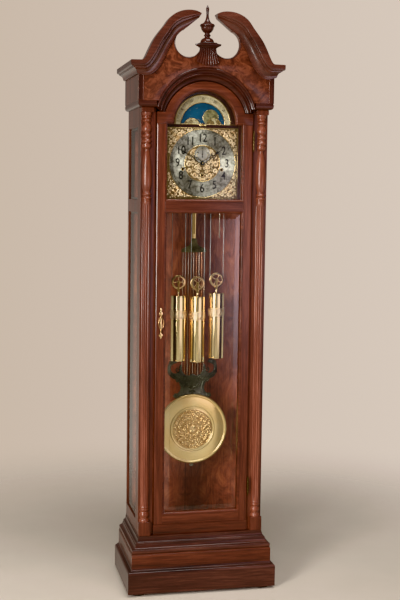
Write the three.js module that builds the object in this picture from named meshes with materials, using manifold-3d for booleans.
// A floor-standing grandfather clock in millimetres, +Z up, its front facing -Y.
// The origin is on the floor under the middle of the case.
import * as THREE from 'three';
import { mergeVertices } from 'three/addons/utils/BufferGeometryUtils.js';
import Module from 'manifold-3d';

const wasm = await Module();
wasm.setup();

// ---- driving dimensions ----
const GAP = 0.3; // clearance between pieces that touch
const BACK = 175; // y of the clock's flat back
const SETBACK = 107.1; // a front face stands this much less forward than its half-width

const SKIRT_HALF = 280;
const BAND_HALF = 264.6;
const LIP_HALF = 263;
const TRUNK_HALF = 235.8;
const FRIEZE_HALF = 249.5;

const FOOT_HEIGHT = 10;
const FEET = [
  ['front_left', -237, -134],
  ['front_right', 237, -134],
  ['back_left', -237, 148],
  ['back_right', 237, 148],
];
const SKIRT_TOP = 103.5;
const BAND_TOP = 157.5;
const TRUNK_BOTTOM = 216;
const BLOCK_HEIGHT = 52; // square block under each column
const TRUNK_TOP = 1789;
const FRIEZE_BOTTOM = 1790;
const FRIEZE_BOARD_BOTTOM = 1812;
const CORNICE_BOTTOM = 1905;
const CORNICE_TOP = 1950;

const POST_INNER = 190;
const JAMB_INNER = 180.5;
const POST_FRONT = -112.7;
const BLOCK_FRONT = -(TRUNK_HALF - SETBACK);
const POST_BACK = -82;
const FRIEZE_FRONT = -(FRIEZE_HALF - SETBACK);
const BOARD_THICKNESS = 20;
const PANE_FRONT = -62; // front edge of the side glass

const DOOR_HALF = 178;
const DOOR_FRONT = -123;
const DOOR_BACK = -101;
const DOOR_BOTTOM = 256.3;
const DOOR_OPENING_HALF = 139;
const DOOR_SHOULDER = 1775;
const GLASS_FRONT = -114;
const GLASS_THICKNESS = 5;
const TRUNK_OPENING = [300, 1412];
const DIAL_OPENING = [1463, 1733];
const DOOR_ARCH = { z: 1734, outer: 152.5, inner: 114, innerZ: 1738 };
const HINGE = { x: 181.3, y: -125, radius: 2.9 };

const ARCH = { z: 1748, radius: 187, foot: 1777, shoulder: 1790 };
const ARCH_FOOT_HALF = 182.3;
const SCROLL = { x: 70, z: 2018, radius: 49 };

const DIAL_Z = 1594; // height of the hands' centre
const DIAL_FRONT = -75;
const SECONDS_Z = 1626;
const MOON = { z: 1727, radius: 90 };
const WINDING_HOLES = [[-73, 1572], [0, 1551], [73, 1572]];
const MINUTE_ANGLE = -60; // degrees clockwise from twelve
const HOUR_ANGLE = 55;

const CABLE_Y = -20;
const CABLE_RADIUS = 1;
const DRUM_RADIUS = 24;
const FALL = DRUM_RADIUS + CABLE_RADIUS + GAP; // distance from a drum's axis to its cable
const SEAT_BOTTOM = 1440;
const SEAT_TOP = 1458;
const WEIGHTS = [['left', -73, 1152], ['middle', 0, 1147], ['right', 73, 1160]];
const WEIGHT = { radius: 29.5, length: 250 };

const PENDULUM = { y: 53, pivot: 1556 };
const BOB = { z: 577.5, radius: 135.5 };

// ---- materials ----
function finish(color, roughness, metalness = 0) {
  return new THREE.MeshStandardMaterial({ color, roughness, metalness });
}

const cherry = finish(0x5a2412, 0.32);
const darkCherry = finish(0x3a160c, 0.35);
const burl = finish(0x6e3018, 0.28);
const innerVeneer = finish(0x4a1a10, 0.5);
const plainWood = finish(0x4b2a18, 0.6);
const brass = finish(0xd2a24c, 0.22, 1);
const agedBrass = finish(0x8a6a34, 0.35, 1);
const silver = finish(0xbcb6a6, 0.4, 0.9);
const blackSteel = finish(0x141210, 0.45, 0.6);
const skyBlue = finish(0x0c4a72, 0.5);
const castIron = finish(0x33312f, 0.6, 0.8);
const glass = new THREE.MeshStandardMaterial({
  color: 0xdfe6e2,
  roughness: 0.05,
  transparent: true,
  opacity: 0.25,
});

// ---- building helpers ----
const clock = new THREE.Group();
clock.name = 'grandfather_clock';

function add(name, geometry, material, parent = clock) {
  const mesh = new THREE.Mesh(geometry, material);
  mesh.name = name;
  parent.add(mesh);
  return mesh;
}

// A box between two corners.
function block(x0, x1, y0, y1, z0, z1) {
  const box = new THREE.BoxGeometry(Math.abs(x1 - x0), Math.abs(y1 - y0), Math.abs(z1 - z0));
  return box.translate((x0 + x1) / 2, (y0 + y1) / 2, (z0 + z1) / 2);
}

function extrude(shape, depth, curveSegments) {
  return new THREE.ExtrudeGeometry(shape, { depth, bevelEnabled: false, curveSegments });
}

// A front elevation, drawn in x and z, made a slab from y = front back to front + thickness.
function frontSlab(shape, front, thickness, curveSegments = 24) {
  return extrude(shape, thickness, curveSegments).rotateX(Math.PI / 2).translate(0, front + thickness, 0);
}

// A side elevation, drawn in y and z, made a slab from x0 to x0 + thickness.
function sideSlab(shape, x0, thickness) {
  const turn = new THREE.Matrix4().makeBasis(
    new THREE.Vector3(0, 1, 0),
    new THREE.Vector3(0, 0, 1),
    new THREE.Vector3(1, 0, 0),
  );
  return extrude(shape, thickness, 8).applyMatrix4(turn).translate(x0, 0, 0);
}

function outline(points, holes = []) {
  const shape = new THREE.Shape(points.map(([a, b]) => new THREE.Vector2(a, b)));
  shape.holes = holes;
  return shape;
}

function rectangle(x0, x1, y0, y1) {
  return [[x0, y0], [x1, y0], [x1, y1], [x0, y1]];
}

function rectangleHole(x0, x1, y0, y1) {
  return new THREE.Path(rectangle(x0, x1, y0, y1).map(([a, b]) => new THREE.Vector2(a, b)));
}

function roundHole(x, y, radius, sides = 12) {
  const corners = Array.from({ length: sides }, (_, i) => {
    const angle = (2 * Math.PI * i) / sides;
    return new THREE.Vector2(x + radius * Math.cos(angle), y + radius * Math.sin(angle));
  });
  return new THREE.Path(corners);
}

// The right half of an outline, joined to its mirror image.
function mirrored(half) {
  const left = half.map(([x, z]) => [-x, z]).reverse();
  return outline([...half, ...left]);
}

// A turning about +Z from a profile of [radius, z].
function turned(profile, segments = 20) {
  const points = profile.map(([radius, z]) => new THREE.Vector2(radius, z));
  return new THREE.LatheGeometry(points, segments).rotateX(Math.PI / 2);
}

// A turning about an axis along Y through (x, z), from a profile of [radius, y].
function turnedAlongY(profile, x, z, segments = 24) {
  const points = profile.map(([radius, y]) => new THREE.Vector2(radius, y));
  return new THREE.LatheGeometry(points, segments).translate(x, 0, z);
}

// A closed skin through equal sections, each a closed ring of points, with both ends capped.
function skin(sections) {
  const count = sections[0].length;
  const positions = sections.flat().flatMap((p) => [p.x, p.y, p.z]);
  const index = [];
  for (let s = 0; s + 1 < sections.length; s += 1) {
    for (let i = 0; i < count; i += 1) {
      const a = s * count + i;
      const b = s * count + (i + 1) % count;
      index.push(a, b, b + count, a, b + count, a + count);
    }
  }
  const last = (sections.length - 1) * count;
  for (const [i, j, k] of capTriangles(sections[0])) index.push(k, j, i);
  for (const [i, j, k] of capTriangles(sections.at(-1))) index.push(last + i, last + j, last + k);
  const geometry = new THREE.BufferGeometry();
  geometry.setAttribute('position', new THREE.Float32BufferAttribute(positions, 3));
  geometry.setIndex(index);
  return facingOut(geometry);
}

// Triangles over a flat ring, wound the way the ring runs.
function capTriangles(ring) {
  const normal = new THREE.Vector3();
  ring.forEach((p, i) => {
    const q = ring[(i + 1) % ring.length];
    normal.x += (p.y - q.y) * (p.z + q.z);
    normal.y += (p.z - q.z) * (p.x + q.x);
    normal.z += (p.x - q.x) * (p.y + q.y);
  });
  normal.normalize();
  const across = new THREE.Vector3(1, 0, 0);
  if (Math.abs(normal.x) > 0.8) across.set(0, 1, 0);
  across.addScaledVector(normal, -across.dot(normal)).normalize();
  const up = normal.clone().cross(across);
  const flat = ring.map((p) => new THREE.Vector2(p.dot(across), p.dot(up)));
  return THREE.ShapeUtils.triangulateShape(flat, []);
}

function facingOut(geometry) {
  const index = geometry.index.array;
  const position = geometry.attributes.position;
  const [a, b, c] = [new THREE.Vector3(), new THREE.Vector3(), new THREE.Vector3()];
  let volume = 0;
  for (let i = 0; i < index.length; i += 3) {
    a.fromBufferAttribute(position, index[i]);
    b.fromBufferAttribute(position, index[i + 1]);
    c.fromBufferAttribute(position, index[i + 2]);
    volume += a.dot(b.cross(c));
  }
  if (volume < 0) geometry.index.array.reverse();
  return geometry;
}

function toSolid(geometry) {
  const bare = geometry.clone();
  bare.deleteAttribute('normal');
  bare.deleteAttribute('uv');
  const merged = mergeVertices(bare, 1e-3);
  const vertProperties = new Float32Array(merged.attributes.position.array);
  const triVerts = new Uint32Array(merged.index.array);
  return new wasm.Manifold(new wasm.Mesh({ numProp: 3, vertProperties, triVerts }));
}

function toGeometry(solid) {
  const mesh = solid.getMesh();
  const geometry = new THREE.BufferGeometry();
  geometry.setAttribute('position', new THREE.BufferAttribute(mesh.vertProperties, 3));
  geometry.setIndex(new THREE.BufferAttribute(mesh.triVerts, 1));
  return geometry;
}

function join(...geometries) {
  return toGeometry(geometries.map(toSolid).reduce((whole, piece) => whole.add(piece)));
}

function cut(geometry, ...tools) {
  return toGeometry(tools.map(toSolid).reduce((whole, tool) => whole.subtract(tool), toSolid(geometry)));
}

// A quarter-round or cove between two profile points, bending towards the corner given.
function curveBetween(from, corner, to, steps = 5) {
  const curve = new THREE.QuadraticBezierCurve(
    new THREE.Vector2(...from),
    new THREE.Vector2(...corner),
    new THREE.Vector2(...to),
  );
  return curve.getPoints(steps).map((p) => [p.x, p.y]);
}

// A moulding that runs round the left, front and right of the case, mitred at the corners.
// Its profile is a closed ring of [half-width, z].
function surround(profile) {
  const corners = [[-1, BACK], [-1, null], [1, null], [1, BACK]];
  return skin(corners.map(([side, y]) => profile.map(([half, z]) => (
    new THREE.Vector3(side * half, y ?? -(half - SETBACK), z)
  ))));
}

// ---- base ----
function buildBase() {
  const skirt = [
    [SKIRT_HALF - 24, FOOT_HEIGHT],
    [SKIRT_HALF, FOOT_HEIGHT],
    ...curveBetween([SKIRT_HALF, 84], [SKIRT_HALF - 1, 92], [SKIRT_HALF - 8, 94], 4),
    ...curveBetween([SKIRT_HALF - 9, 96], [BAND_HALF + 1, 96], [BAND_HALF, SKIRT_TOP], 4),
    [SKIRT_HALF - 24, SKIRT_TOP],
  ];
  const blocks = FEET.map(([, x, y]) => {
    const inner = Math.sign(x) * 215;
    const outer = Math.sign(x) * (SKIRT_HALF - 23);
    const [front, back] = y < 0 ? [-150, -112] : [130, BACK - 12.1];
    return block(inner, outer, front, back, FOOT_HEIGHT + 2, 40);
  });
  const holes = FEET.map(([, x, y]) => (
    turned([[0, 0], [5.3, 0], [5.3, 60], [0, 60]], 12).translate(x, y, 0)
  ));
  add('base_skirt', cut(join(surround(skirt), ...blocks), ...holes), cherry);

  const band = rectangle(BAND_HALF - 16, BAND_HALF, SKIRT_TOP + GAP, BAND_TOP - GAP);
  add('base_band', surround(band), darkCherry);

  const waist = [
    [LIP_HALF - 58, BAND_TOP],
    [LIP_HALF - 6, BAND_TOP],
    [LIP_HALF, 160],
    [LIP_HALF, 170],
    [LIP_HALF - 2, 172],
    ...curveBetween([LIP_HALF - 6, 173.5], [250, 176], [248.5, 187], 5),
    [247, 189],
    [245.5, 192],
    ...curveBetween([244, 193], [238.5, 196], [237.5, 209], 5),
    [TRUNK_HALF, 211],
    [TRUNK_HALF, TRUNK_BOTTOM - GAP],
    [LIP_HALF - 58, TRUNK_BOTTOM - GAP],
  ];
  add('waist_moulding', surround(waist), cherry);

  const inner = LIP_HALF - 58 - GAP;
  const floorFront = -(LIP_HALF - 58 - SETBACK) + GAP;
  const floor = block(-inner, inner, floorFront, BACK - 12, TRUNK_BOTTOM - 16, TRUNK_BOTTOM - GAP);
  add('floor_board', floor, innerVeneer);
}

function buildFeet() {
  const profile = [[0, 0], [12, 0], [14, 1.5], [14, 6], [12, 7.5], [5, 9], [5, 45], [0, 46]];
  for (const [name, x, y] of FEET) {
    const foot = add(`levelling_foot_${name}`, turned(profile, 12), castIron);
    foot.position.set(x, y, 0);
  }
}

// ---- trunk and hood carcass ----
function buildCarcass() {
  const backInner = TRUNK_HALF - BOARD_THICKNESS - GAP;
  const waistInner = LIP_HALF - 58 - GAP;
  const baseInner = BAND_HALF - 16 - GAP;
  const back = mirrored([
    [baseInner, FOOT_HEIGHT + 4],
    [baseInner, BAND_TOP - GAP],
    [waistInner, BAND_TOP - GAP],
    [waistInner, TRUNK_BOTTOM],
    [backInner, TRUNK_BOTTOM],
    [backInner, CORNICE_BOTTOM + 12],
  ]);
  add('back_panel', frontSlab(back, BACK - 11.7, 11.7), innerVeneer);

  const sideInner = TRUNK_HALF - BOARD_THICKNESS;
  const sideFront = POST_BACK + GAP;
  const sideTop = CORNICE_TOP - 20;
  for (const [side, name] of [[-1, 'left'], [1, 'right']]) {
    const x0 = side < 0 ? -TRUNK_HALF : sideInner;
    const frame = outline(rectangle(sideFront, BACK, TRUNK_BOTTOM, sideTop), [
      rectangleHole(-50, 157, 262, 1412),
      rectangleHole(-50, 157, 1459, 1722),
    ]);
    const friezeInner = side * (TRUNK_HALF - 5);
    const frieze = block(
      friezeInner,
      side * FRIEZE_HALF,
      FRIEZE_FRONT + BOARD_THICKNESS + GAP,
      BACK,
      FRIEZE_BOARD_BOTTOM + GAP,
      CORNICE_BOTTOM - GAP,
    );
    add(`side_frame_${name}`, join(sideSlab(frame, x0, BOARD_THICKNESS), frieze), cherry);

    const paneX = side < 0 ? -sideInner + GAP : sideInner - 4 - GAP;
    const pane = block(paneX, paneX + 4, PANE_FRONT, BACK - 12, 250, 1734);
    add(`side_glass_${name}`, pane, glass);

    add(`corner_post_${name}`, cornerPost(side), cherry);
    add(`column_${name}`, column(side), cherry);
    add(`frieze_moulding_${name}`, friezeMoulding(side), cherry);
    add(`cornice_return_${name}`, corniceReturn(side), cherry);
  }

  const sill = block(
    -JAMB_INNER + GAP,
    JAMB_INNER - GAP,
    DOOR_FRONT + 4,
    -90,
    TRUNK_BOTTOM,
    DOOR_BOTTOM - 1,
  );
  add('sill_rail', sill, cherry);

  const top = block(
    -backInner,
    backInner,
    FRIEZE_FRONT + BOARD_THICKNESS + GAP,
    BACK - 12,
    CORNICE_BOTTOM + 13,
    CORNICE_BOTTOM + 25,
  );
  add('top_board', top, plainWood);
}

// A post with a square block proud of its face at each end, and the jamb that the door shuts beside.
function cornerPost(side) {
  const elevation = outline([
    [POST_BACK, TRUNK_BOTTOM],
    [POST_BACK, TRUNK_TOP],
    [BLOCK_FRONT, TRUNK_TOP],
    [BLOCK_FRONT, TRUNK_TOP - 17],
    [POST_FRONT, TRUNK_TOP - 17],
    [POST_FRONT, TRUNK_BOTTOM + BLOCK_HEIGHT],
    [BLOCK_FRONT, TRUNK_BOTTOM + BLOCK_HEIGHT],
    [BLOCK_FRONT, TRUNK_BOTTOM],
  ]);
  const x0 = side < 0 ? -TRUNK_HALF : POST_INNER;
  const post = sideSlab(elevation, x0, TRUNK_HALF - POST_INNER);
  const jamb = block(
    side * JAMB_INNER,
    side * (POST_INNER + 3),
    POST_FRONT,
    POST_BACK,
    TRUNK_BOTTOM,
    TRUNK_TOP,
  );
  return join(post, jamb);
}

// A split turning: base rings, plain shaft, vase, urn and capital rings, flat where it meets the post.
function column(side) {
  const bottom = TRUNK_BOTTOM + BLOCK_HEIGHT + GAP;
  const top = TRUNK_TOP - 17 - GAP;
  const profile = [
    [0, bottom],
    [18.5, bottom],
    [18.5, 278],
    [15.5, 283],
    [18.5, 290],
    [18.5, 300],
    [15, 304],
    [15, 308],
    [18, 313],
    [18, 322],
    [16.5, 330],
    [16.5, 1455],
    [18, 1461],
    [18, 1468],
    [14.5, 1473],
    [17.5, 1479],
    [14.5, 1486],
    ...curveBetween([13, 1492], [19, 1515], [18.5, 1542], 4),
    ...curveBetween([18.5, 1542], [18, 1590], [8.5, 1640], 5),
    [10, 1648],
    [17, 1653],
    [17, 1659],
    [13, 1664],
    [17.5, 1672],
    [13, 1681],
    [17, 1690],
    [13, 1698],
    ...curveBetween([12, 1702], [19, 1712], [16, 1725], 3),
    [11, 1736],
    [16.5, 1743],
    [12.5, 1750],
    [17, 1757],
    [17, 1764],
    [18, top - 4],
    [18, top],
    [0, top],
  ];
  const x = side * (POST_INNER + TRUNK_HALF) / 2;
  const turning = turned(profile, 12).translate(x, POST_FRONT + 2.7, 0);
  return cut(turning, block(x - 40, x + 40, POST_FRONT - GAP, POST_FRONT + 60, 0, 2000));
}

// The rounded moulding under the frieze, from the back of the side to the foot of the arch.
function friezeMoulding(side) {
  const inner = TRUNK_HALF + GAP;
  const profile = [
    [inner, FRIEZE_BOTTOM],
    [inner + 3, FRIEZE_BOTTOM],
    ...curveBetween([inner + 3, FRIEZE_BOTTOM], [FRIEZE_HALF, 1793], [FRIEZE_HALF, 1805], 5),
    [FRIEZE_HALF, FRIEZE_BOARD_BOTTOM],
    [inner, FRIEZE_BOARD_BOTTOM],
  ];
  const frontOf = (half) => (half === inner ? FRIEZE_FRONT + BOARD_THICKNESS : -(half - SETBACK));
  return skin([
    profile.map(([half, z]) => new THREE.Vector3(side * half, BACK, z)),
    profile.map(([half, z]) => new THREE.Vector3(side * half, frontOf(half), z)),
    profile.map(([half, z]) => new THREE.Vector3(side * ARCH_FOOT_HALF, frontOf(half), z)),
  ]);
}

// How far the cornice moulding stands out at a height t, from 0 at its foot to 1 at its top.
const CORNICE_PROFILE = [
  [0, 1],
  [0, 6],
  [0.1, 7],
  [0.22, 9.5],
  [0.34, 14],
  [0.44, 21],
  [0.5, 23],
  [0.56, 24],
  [0.6, 29],
  [0.68, 32.2],
  [0.92, 32.3],
  [1, 30.5],
];

function corniceReturn(side) {
  const height = CORNICE_TOP - CORNICE_BOTTOM;
  const inner = TRUNK_HALF + GAP;
  const profile = [
    [FRIEZE_HALF - 1, CORNICE_BOTTOM],
    ...CORNICE_PROFILE.map(([t, out]) => [FRIEZE_HALF + out, CORNICE_BOTTOM + t * height]),
    [FRIEZE_HALF - 1, CORNICE_TOP],
  ];
  const moulding = skin([
    profile.map(([half, z]) => new THREE.Vector3(side * half, BACK, z)),
    profile.map(([half, z]) => new THREE.Vector3(side * half, -(half - SETBACK), z)),
  ]);
  const core = block(
    side * inner,
    side * FRIEZE_HALF,
    FRIEZE_FRONT,
    BACK,
    CORNICE_BOTTOM,
    CORNICE_TOP,
  );
  return join(moulding, core);
}

// ---- pediment ----
// The outer edge of the right swan neck, and the edge under it, given in matching steps.
const NECK_UPPER = [
  [243, 1950.5], [236, 1954], [227, 1968], [213, 1998], [199, 2025], [182, 2049], [163, 2073],
  [145, 2098], [125, 2115], [100, 2126], [78, 2130], [58, 2130], [42, 2127], [28, 2121],
];
const NECK_LOWER = [
  [240, 1902], [222, 1899.5], [199, 1908], [175, 1931], [156, 1966], [143, 1996], [132, 2016],
  [121, 2033], [108, 2048], [95, 2060], [80, 2070], [64, 2083], [48, 2096], [34, 2107],
];

function splineThrough(points, steps) {
  const curve = new THREE.SplineCurve(points.map(([x, z]) => new THREE.Vector2(x, z)));
  return curve.getPoints(steps);
}

function neckEdges() {
  const steps = 20;
  return [splineThrough(NECK_LOWER, steps), splineThrough(NECK_UPPER, steps)];
}

function swanNeck(side) {
  const [lower, upper] = neckEdges();
  const back = FRIEZE_FRONT - GAP;
  const height = CORNICE_TOP - CORNICE_BOTTOM;
  const mitre = [[0, 0.3], ...CORNICE_PROFILE, [1, 0.3]].map(([t, out]) => new THREE.Vector3(
    side * (FRIEZE_HALF + out - GAP),
    back - out,
    CORNICE_BOTTOM + t * height,
  ));
  const stations = lower.map((low, i) => {
    const high = upper[i];
    const reach = 1 - 0.35 * Math.max(0, (i - lower.length / 2) / (lower.length / 2));
    return [[0, 0.3], ...CORNICE_PROFILE, [1, 0.3]].map(([t, out]) => new THREE.Vector3(
      side * (low.x + t * (high.x - low.x)),
      back - out * reach,
      low.y + t * (high.y - low.y),
    ));
  });
  return skin([mitre, ...stations]);
}

function pedimentBoard() {
  const [lower, upper] = neckEdges();
  const archZ = FRIEZE_BOARD_BOTTOM + GAP;
  const half = [];
  const archStart = Math.asin((archZ - ARCH.z) / ARCH.radius);
  const archSteps = 10;
  for (let i = 0; i <= archSteps; i += 1) {
    const angle = Math.PI / 2 + (archStart - Math.PI / 2) * (i / archSteps);
    half.push([ARCH.radius * Math.cos(angle), ARCH.z + ARCH.radius * Math.sin(angle)]);
  }
  half[0][0] = 0;
  half.push([FRIEZE_HALF, archZ], [FRIEZE_HALF, CORNICE_BOTTOM - GAP]);
  half.push([TRUNK_HALF, CORNICE_BOTTOM - GAP], [TRUNK_HALF, 1954]);
  const topEdge = upper.filter((p) => p.x < TRUNK_HALF - 2);
  half.push(...topEdge.map((p) => [p.x, p.y]));
  const underside = lower.filter((p) => p.x < 84 && p.x > 30).reverse();
  half.push(...underside.map((p) => [p.x, p.y]));
  const [scrollStart, scrollEnd] = [70, -164.6].map(THREE.MathUtils.degToRad);
  const scrollSteps = 14;
  for (let i = 0; i <= scrollSteps; i += 1) {
    const angle = scrollStart + (scrollEnd - scrollStart) * (i / scrollSteps);
    half.push([SCROLL.x + SCROLL.radius * Math.cos(angle), SCROLL.z + SCROLL.radius * Math.sin(angle)]);
  }
  const left = half.slice(1).map(([x, z]) => [-x, z]).reverse();
  return frontSlab(outline([...half, ...left]), FRIEZE_FRONT, BOARD_THICKNESS);
}

// The round-headed moulding that steps back from the frieze to the door.
function archMoulding() {
  const profile = [
    [186.7, -122.2], [186.7, -143.4], [183, -145.4], [179.5, -142.8], [177, -137], [173, -135],
    [170.5, -137], [167.8, -134.5], [166, -127], [159, -122.5], [154.8, -119], [154.8, -108],
    [172, -108], [172, -122.2],
  ];
  const centreOf = (radius) => 1735 + (radius - 154) * (13 / 33);
  const steps = 20;
  const stations = [];
  for (let s = 0; s <= steps; s += 1) {
    stations.push(profile.map(([radius, y]) => {
      const centre = centreOf(radius);
      const foot = radius > 172 ? ARCH.shoulder : ARCH.foot;
      const start = Math.asin((foot - centre) / radius);
      const angle = start + (Math.PI - 2 * start) * (s / steps);
      return new THREE.Vector3(radius * Math.cos(angle), y, centre + radius * Math.sin(angle));
    }));
  }
  return skin(stations);
}

// A carved shell that carries the finial.
function finialPedestal() {
  const shell = mirrored([[44, 1957], [31, 1990], [30, 2002], [33, 2005], [40, 2008], [46, 2012], [46, 2021]]);
  const base = new THREE.Shape();
  base.moveTo(-44, 1957);
  base.quadraticCurveTo(0, 1934, 44, 1957);
  base.lineTo(0, 1975);
  base.closePath();
  const front = FRIEZE_FRONT - GAP - 24;
  return join(frontSlab(shell, front, 24), frontSlab(base, front, 24));
}

function finial() {
  const profile = [
    [0, 2021.3], [24, 2021.3], [25, 2026], [20, 2034], [11, 2040], [9, 2046], [12, 2050],
    [10, 2054], [16, 2062], [24, 2074], [26.5, 2083], [22, 2089], [13, 2095], [7, 2101],
    [5, 2108], [4, 2126], [5, 2136], [5, 2143], [2.5, 2150], [0, 2156],
  ];
  return turned(profile, 14).translate(0, FRIEZE_FRONT + 12, 0);
}

function buildPediment() {
  add('pediment_board', pedimentBoard(), burl);
  add('arch_moulding', archMoulding(), cherry);
  add('swan_neck_left', swanNeck(-1), cherry);
  add('swan_neck_right', swanNeck(1), cherry);
  add('finial_pedestal', finialPedestal(), cherry);
  add('finial', finial(), darkCherry);
}

// ---- door ----
function buildDoor() {
  const door = new THREE.Group();
  door.name = 'door';
  clock.add(door);
  const thickness = DOOR_BACK - DOOR_FRONT;
  const [dialBottom, dialTop] = DIAL_OPENING;
  for (const [side, name] of [[-1, 'left'], [1, 'right']]) {
    const stile = block(
      side * (DOOR_OPENING_HALF + GAP),
      side * DOOR_HALF,
      DOOR_FRONT,
      DOOR_BACK,
      DOOR_BOTTOM,
      dialTop - GAP,
    );
    add(`door_stile_${name}`, stile, cherry, door);
  }
  const rail = (z0, z1) => (
    block(-DOOR_OPENING_HALF, DOOR_OPENING_HALF, DOOR_FRONT, DOOR_BACK, z0, z1)
  );
  add('door_bottom_rail', rail(DOOR_BOTTOM, TRUNK_OPENING[0]), cherry, door);
  add('door_middle_rail', rail(TRUNK_OPENING[1], dialBottom), cherry, door);
  add('door_head', frontSlab(doorHeadShape(), DOOR_FRONT, thickness, 32), cherry, door);

  const paneHalf = DOOR_OPENING_HALF - GAP;
  const trunkPane = block(
    -paneHalf,
    paneHalf,
    GLASS_FRONT,
    GLASS_FRONT + GLASS_THICKNESS,
    TRUNK_OPENING[0] + GAP,
    TRUNK_OPENING[1] - GAP,
  );
  add('trunk_glass', trunkPane, glass, door);

  const dialPane = new THREE.Shape();
  const archRadius = DOOR_ARCH.inner - GAP;
  dialPane.moveTo(-paneHalf, dialBottom + GAP);
  dialPane.lineTo(paneHalf, dialBottom + GAP);
  dialPane.lineTo(paneHalf, dialTop - GAP);
  dialPane.lineTo(archRadius, dialTop - GAP);
  dialPane.absarc(0, DOOR_ARCH.innerZ, archRadius, 0, Math.PI, false);
  dialPane.lineTo(-archRadius, dialTop - GAP);
  dialPane.lineTo(-paneHalf, dialTop - GAP);
  dialPane.closePath();
  add('dial_glass', frontSlab(dialPane, GLASS_FRONT, GLASS_THICKNESS), glass, door);

  buildDoorPull(door);
}

function doorHeadShape() {
  const { z, outer, inner, innerZ } = DOOR_ARCH;
  const bottom = DIAL_OPENING[1];
  const rise = Math.asin((DOOR_SHOULDER - z) / outer);
  const shape = new THREE.Shape();
  shape.moveTo(inner, bottom);
  shape.lineTo(DOOR_HALF, bottom);
  shape.lineTo(DOOR_HALF, DOOR_SHOULDER);
  shape.absarc(0, z, outer, rise, Math.PI - rise, false);
  shape.lineTo(-DOOR_HALF, DOOR_SHOULDER);
  shape.lineTo(-DOOR_HALF, bottom);
  shape.lineTo(-inner, bottom);
  shape.absarc(0, innerZ, inner, Math.PI, 0, true);
  shape.closePath();
  return shape;
}

// A long brass back plate, and a teardrop pull that swings on a pin at its top.
function buildDoorPull(door) {
  const x = -158;
  const plateFront = DOOR_FRONT - GAP - 2;
  const plate = mirrored([
    [0, 953], [4, 958], [8.5, 966], [4, 974], [3, 985], [5, 1012], [3, 1040], [7, 1048],
    [4, 1056], [5, 1062], [2, 1068],
  ]);
  const plateSlab = frontSlab(plate, plateFront, 2);
  const boss = block(-2, 2, plateFront - 8, plateFront + 1, 1043, 1053);
  const pull = add('door_pull_plate', join(plateSlab, boss), brass, door);
  pull.position.x = x;

  const drop = mirrored([
    [0, 974], [4, 979], [4, 984], [9, 996], [11, 1014], [8, 1032], [5, 1040], [5, 1050],
    [2.4, 1050], [2.4, 1038],
  ]);
  const eye = new THREE.Path();
  eye.absellipse(0, 1014, 5, 16, 0, 2 * Math.PI, false, 0);
  drop.holes = [eye];
  const swinging = add('door_pull_drop', frontSlab(drop, plateFront - 7, 4, 12), brass, door);
  swinging.position.x = x;
}

function buildHinges() {
  for (const [name, z0, z1] of [['upper', 1645, 1707], ['lower', 357, 419]]) {
    const { x, y, radius } = HINGE;
    const pin = turned([
      [0, z0 - 7], [2.2, z0 - 5], [1.4, z0], [radius, z0 + 1], [radius, z1 - 1], [1.4, z1],
      [2.2, z1 + 5], [0, z1 + 7],
    ], 12).translate(x, y, 0);
    const leaf = block(x - 0.3, x + 2.5, y + 1, POST_FRONT - GAP, z0 + 2, z1 - 2);
    add(`${name}_hinge`, join(pin, leaf), agedBrass);
  }
}

// ---- dial ----
function dialOutline() {
  const shape = new THREE.Shape();
  const half = 134;
  const archRadius = 105;
  const shoulder = 1735;
  shape.moveTo(-half, 1464);
  shape.lineTo(half, 1464);
  shape.lineTo(half, shoulder);
  shape.lineTo(archRadius, shoulder);
  shape.absarc(0, shoulder + 4, archRadius, 0, Math.PI, false);
  shape.lineTo(-archRadius, shoulder);
  shape.lineTo(-half, shoulder);
  shape.closePath();
  return shape;
}

// The window over the moon: a half round with two humps rising from its sill.
function moonWindow() {
  const window = new THREE.Path();
  const sill = 1736;
  const hump = { x: 41, z: MOON.z, radius: 31 };
  const rise = Math.asin((sill - hump.z) / hump.radius);
  window.moveTo(82, sill);
  window.absarc(0, 1731, 82.2, 0.06, Math.PI - 0.06, false);
  window.absarc(-hump.x, hump.z, hump.radius, Math.PI - rise, rise, true);
  window.absarc(hump.x, hump.z, hump.radius, Math.PI - rise, rise, true);
  window.closePath();
  return window;
}

function buildDial() {
  const plate = dialOutline();
  plate.holes = [
    moonWindow(),
    roundHole(0, DIAL_Z, 5),
    roundHole(0, SECONDS_Z, 2.5),
    ...WINDING_HOLES.map(([x, z]) => roundHole(x, z, 4.5)),
  ];
  const moonStud = turnedAlongY([[0, -74], [2.9, -74], [2.9, -67], [0, -67]], 0, MOON.z, 10);
  const legs = [[-100, 1480], [100, 1480], [-100, 1645], [100, 1645]].map(([x, z]) => (
    turnedAlongY([[0, -74], [3, -74], [3, -60 - GAP], [0, -60 - GAP]], x, z, 8)
  ));
  add('dial_plate', join(frontSlab(plate, DIAL_FRONT, 2, 12), moonStud, ...legs), brass);

  const ring = new THREE.Shape().absarc(0, DIAL_Z, 124, 0, 2 * Math.PI, false);
  ring.holes = [
    roundHole(0, DIAL_Z, 66.5, 40),
    roundHole(...WINDING_HOLES[0], 4.5),
    roundHole(...WINDING_HOLES[2], 4.5),
  ];
  add('chapter_ring', frontSlab(ring, DIAL_FRONT - GAP - 1.5, 1.5, 24), silver);

  const disc = new THREE.Shape().absarc(0, MOON.z, MOON.radius, 0, 2 * Math.PI, false);
  disc.holes = [roundHole(0, MOON.z, 3.2)];
  add('moon_disc', frontSlab(disc, DIAL_FRONT + 2 + 0.6, 1.4, 20), skyBlue);
}

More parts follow.
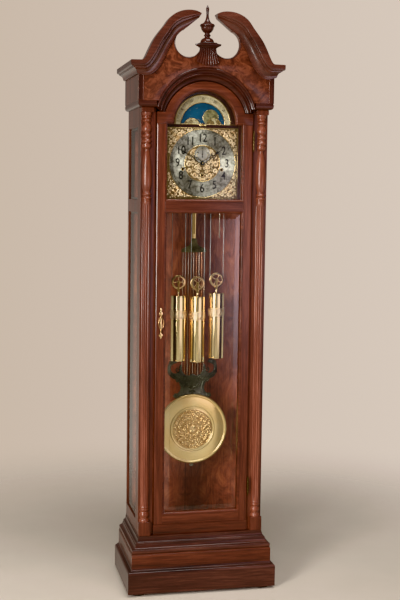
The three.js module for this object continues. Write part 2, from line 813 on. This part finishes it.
function handSlab(length, width, hub, front, angle) {
  const reach = length - width;
  const blade = outline([
    [-width * 0.4, hub * 0.6], [-width * 0.35, reach * 0.55], [-width, reach * 0.68],
    [-width * 0.3, reach * 0.82], [0, length], [width * 0.3, reach * 0.82], [width, reach * 0.68],
    [width * 0.35, reach * 0.55], [width * 0.4, hub * 0.6],
  ]);
  const slab = frontSlab(blade, front, 1);
  return slab.rotateY(THREE.MathUtils.degToRad(angle)).translate(0, 0, DIAL_Z);
}

function buildHands() {
  const hourFront = DIAL_FRONT - 5;
  const hourPipe = turnedAlongY([
    [2.9, hourFront], [8, hourFront], [8, hourFront + 1], [4.4, hourFront + 1.4], [4.4, -64],
    [2.9, -64], [2.9, hourFront],
  ], 0, DIAL_Z, 20);
  const hourBlade = cut(
    handSlab(91, 9, 8, hourFront, HOUR_ANGLE),
    turnedAlongY([[0, -100], [2.9, -100], [2.9, -50], [0, -50]], 0, DIAL_Z, 20),
  );
  add('hour_hand', join(hourBlade, hourPipe), blackSteel);

  const minuteFront = hourFront - 2.5;
  const arbor = turnedAlongY([
    [0, minuteFront - 2], [2.4, minuteFront - 1.5], [6, minuteFront], [6, minuteFront + 1],
    [2.5, minuteFront + 1.2], [2.5, -64], [0, -64],
  ], 0, DIAL_Z, 20);
  add('minute_hand', join(handSlab(118, 6.5, 6, minuteFront, MINUTE_ANGLE), arbor), blackSteel);

  const secondsFront = DIAL_FRONT - 2.4;
  const pointer = outline([[-1.2, -12], [1.2, -12], [0.8, 0], [0.5, 24], [-0.5, 24], [-0.8, 0]]);
  const secondsArbor = turnedAlongY([
    [0, secondsFront - 0.6], [2, secondsFront], [2, secondsFront + 0.8], [1.2, secondsFront + 1],
    [1.2, -64], [0, -64],
  ], 0, SECONDS_Z, 12);
  const secondsSlab = frontSlab(pointer, secondsFront, 0.8).translate(0, 0, SECONDS_Z);
  add('seconds_hand', join(secondsSlab, secondsArbor), blackSteel);
}

// ---- movement ----
function buildMovement() {
  const seatInner = TRUNK_HALF - BOARD_THICKNESS - GAP;
  const slots = WEIGHTS.map(([, x]) => (
    block(x - FALL - 6, x - FALL + 6, CABLE_Y - 9, CABLE_Y + 9, SEAT_BOTTOM - 5, SEAT_TOP + 5)
  ));
  const paneInner = seatInner - 4 - GAP;
  const seat = join(
    block(-paneInner, paneInner, POST_BACK + GAP, 38, SEAT_BOTTOM, SEAT_TOP),
    block(-seatInner, seatInner, POST_BACK + GAP, PANE_FRONT - GAP, SEAT_BOTTOM, SEAT_TOP),
  );
  add('seat_board', cut(seat, ...slots), plainWood);

  const plateHalf = 114;
  const plateTop = 1664;
  const plateBottom = SEAT_TOP + GAP;
  const frontPlate = frontSlab(outline(rectangle(-plateHalf, plateHalf, plateBottom, plateTop), [
    roundHole(0, DIAL_Z, 7),
    roundHole(0, SECONDS_Z, 3),
  ]), -60, 3);
  const pieces = [frontPlate, block(-plateHalf, plateHalf, 14, 17, plateBottom, plateTop)];
  for (const x of [-108, 108]) {
    for (const z of [plateBottom + 10, plateTop - 10]) {
      pieces.push(turnedAlongY([[0, -59], [4, -59], [4, 16], [0, 16]], x, z, 8));
    }
  }
  for (const [x, z] of WINDING_HOLES) {
    const drumFront = -48;
    const drumBack = 6;
    pieces.push(turnedAlongY([
      [0, -73], [3, -73], [3, drumFront], [DRUM_RADIUS + 4, drumFront],
      [DRUM_RADIUS + 4, drumFront + 3], [DRUM_RADIUS, drumFront + 3], [DRUM_RADIUS, drumBack],
      [DRUM_RADIUS + 4, drumBack], [DRUM_RADIUS + 4, drumBack + 2], [4, drumBack + 2], [4, 16], [0, 16],
    ], x, z, 12));
  }
  pieces.push(block(-8, 8, 15, PENDULUM.y + 6, PENDULUM.pivot + GAP, PENDULUM.pivot + 16));
  add('movement', join(...pieces), brass);

  add('chime_rods', chimeRods(), castIron);
}

// An iron block on the back panel, with tuned rods that hang from it.
function chimeRods() {
  const rodCount = 8;
  const rodSpacing = 8;
  const rodY = 115;
  const pieces = [block(106, 182, rodY - 9, BACK - 12, 1500, 1530)];
  for (let i = 0; i < rodCount; i += 1) {
    const x = 115 + i * rodSpacing;
    const end = 1310 + (i === 0 ? 0 : 98 + 8 * i);
    pieces.push(turned([[0, end], [2.5, end], [2.5, 1502], [0, 1502]], 8).translate(x, rodY, 0));
  }
  return join(...pieces);
}

// ---- weights, pulleys and cables ----
function weightAssembly() {
  const top = -48; // height of the shell's top below the pulley's axis
  const bottom = top - WEIGHT.length;
  const shell = turned([
    [0, bottom - 5], [6, bottom - 5], [6, bottom], [WEIGHT.radius - 2, bottom],
    [WEIGHT.radius, bottom + 2], [WEIGHT.radius, top - 2], [WEIGHT.radius - 2, top],
    [5, top + 2], [3, top + 4], [3, -36], [0, -36],
  ], 20).translate(0, CABLE_Y, 0);
  const bridge = block(-3, 3, CABLE_Y - 8.5, CABLE_Y + 8.5, -37, -32);
  const pieces = [shell, bridge];
  for (const side of [-1, 1]) {
    const cheek = outline([[-3, -36], [3, -36], [3, 0], [0, 4], [-3, 0]]);
    pieces.push(frontSlab(cheek, CABLE_Y + side * 7.25 - 1.25, 2.5));
  }
  const front = CABLE_Y - 8;
  pieces.push(turnedAlongY([[0, front], [2.2, front], [2.2, CABLE_Y + 8], [0, CABLE_Y + 8]], 0, 0, 12));
  return join(...pieces);
}

function pulley() {
  const rim = turnedAlongY([
    [19, CABLE_Y - 4.5], [26.5, CABLE_Y - 4.5], [26.5, CABLE_Y - 2.8], [DRUM_RADIUS, CABLE_Y - 1.7],
    [DRUM_RADIUS, CABLE_Y + 1.7], [26.5, CABLE_Y + 2.8], [26.5, CABLE_Y + 4.5], [19, CABLE_Y + 4.5],
    [19, CABLE_Y - 4.5],
  ], 0, 0, 16);
  const pieces = [rim];
  for (const half of [[20, 2.2], [2.2, 20]]) {
    pieces.push(block(-half[0], half[0], CABLE_Y - 2, CABLE_Y + 2, -half[1], half[1]));
  }
  pieces.push(turnedAlongY([[0, CABLE_Y - 5], [6, CABLE_Y - 5], [6, CABLE_Y + 5], [0, CABLE_Y + 5]], 0, 0, 10));
  const bore = turnedAlongY([[0, -60], [2.5, -60], [2.5, 20], [0, 20]], 0, 0, 12);
  return cut(join(...pieces), bore);
}

// One cable: down from the drum, round the pulley and up to its hitch under the seat board.
function cable(drumZ, pulleyZ, x) {
  const at = (px, pz) => new THREE.Vector3(px, CABLE_Y, pz);
  const hitch = SEAT_BOTTOM - GAP;
  const turnSteps = 10;
  const around = (i) => Math.PI + Math.PI * (i / turnSteps);
  const sections = [at(x - FALL, drumZ)];
  for (let i = 0; i <= turnSteps; i += 1) {
    sections.push(at(x + FALL * Math.cos(around(i)), pulleyZ + FALL * Math.sin(around(i))));
  }
  sections.push(at(x + FALL, hitch));
  return roundCord(sections, CABLE_RADIUS, 8);
}

// A round cord through points that lie in one plane of constant y.
function roundCord(points, radius, sides) {
  const across = new THREE.Vector3(0, 1, 0);
  return skin(points.map((point, i) => {
    const before = points[Math.max(i - 1, 0)];
    const after = points[Math.min(i + 1, points.length - 1)];
    const along = after.clone().sub(before).normalize();
    const out = along.clone().cross(across);
    return Array.from({ length: sides }, (_, k) => {
      const angle = (2 * Math.PI * k) / sides;
      return point.clone()
        .addScaledVector(across, radius * Math.cos(angle))
        .addScaledVector(out, radius * Math.sin(angle));
    });
  }));
}

function buildWeights() {
  WEIGHTS.forEach(([name, x, z], i) => {
    const hanging = new THREE.Group();
    hanging.name = `${name}_weight_assembly`;
    hanging.position.set(x, 0, z);
    clock.add(hanging);
    add(`${name}_weight`, weightAssembly(), brass, hanging);
    add(`${name}_pulley`, pulley(), agedBrass, hanging);
    add(`${name}_cable`, cable(WINDING_HOLES[i][1], z, x), agedBrass);
  });
}

// ---- pendulum ----
function pendulumRod() {
  const y = PENDULUM.y;
  const bar = (x0, x1, z0, z1, depth = 2) => block(x0, x1, y - depth, y + depth, z0, z1);
  const crown = mirrored([
    [47, 1261], [47, 1270], [38, 1277], [22, 1281], [12, 1292], [9, 1306], [6, 1312],
  ]);
  const pieces = [
    bar(-6.5, 6.5, 1300, PENDULUM.pivot - GAP),
    frontSlab(crown, y - 3, 6),
    frontSlab(lyre(), y - 2, 4, 10),
    bar(-4, 4, 430, 790),
    turned([[0, 427], [8, 427], [8, 441], [0, 441]], 12).translate(0, y, 0),
  ];
  const rodCount = 9;
  for (let i = 0; i < rodCount; i += 1) {
    const x = -42 + (84 * i) / (rodCount - 1);
    pieces.push(turned([[0, 770], [1.6, 770], [1.6, 1263], [0, 1263]], 6).translate(x, y, 0));
  }
  return join(...pieces);
}

function lyre() {
  const shape = mirrored([
    [6, 722], [24, 716], [42, 702], [62, 697], [76, 702], [70, 712], [56, 718], [50, 737],
    [58, 764], [82, 782], [98, 812], [90, 834], [66, 848], [56, 838], [40, 800], [24, 786], [8, 792],
  ]);
  shape.holes = [roundHole(63, 812, 12), roundHole(-63, 812, 12)];
  return shape;
}

function buildPendulum() {
  const pendulum = new THREE.Group();
  pendulum.name = 'pendulum';
  clock.add(pendulum);
  add('pendulum_rod', pendulumRod(), agedBrass, pendulum);
  const backFace = PENDULUM.y - 2 - GAP;
  const bob = turnedAlongY([
    [0, backFace - 17], [40, backFace - 16], [80, backFace - 12.5], [83, backFace - 14],
    [86, backFace - 12], [115, backFace - 7.5], [126, backFace - 5], [128, backFace - 6.5],
    [BOB.radius - 1, backFace - 5.5], [BOB.radius, backFace - 4], [BOB.radius, backFace], [0, backFace],
  ], 0, BOB.z, 32);
  add('pendulum_bob', bob, brass, pendulum);
}

buildBase();
buildFeet();
buildCarcass();
buildPediment();
buildDoor();
buildHinges();
buildDial();
buildHands();
buildMovement();
buildWeights();
buildPendulum();

export default clock;
